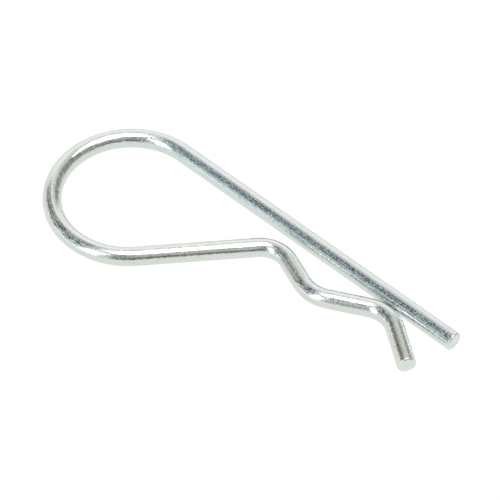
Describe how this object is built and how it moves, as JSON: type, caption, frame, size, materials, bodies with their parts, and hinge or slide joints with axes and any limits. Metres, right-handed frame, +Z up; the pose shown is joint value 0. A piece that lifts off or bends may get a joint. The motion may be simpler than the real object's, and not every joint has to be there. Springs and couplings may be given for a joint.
{
  "type": "hitch r clip pin",
  "caption": "Spring wire R clip with a round finger loop, a straight leg and a bent leg that grips a shaft whose cross hole the straight leg fills.",
  "frame": {"origin": "middle of the clip's outline, on the surface that it lies on", "axes": "+X along the straight leg from the finger loop to the tips, +Y from the bent leg to the straight leg, +Z up through the wire, along the axis of the held shaft"},
  "size_m": [0.093, 0.0364, 0.004],
  "materials": {
    "zinc_wire": "bright zinc plate over drawn spring wire"
  },
  "bodies": {
    "root": {"r_clip": "zinc_wire"}
  },
  "joints": []
}
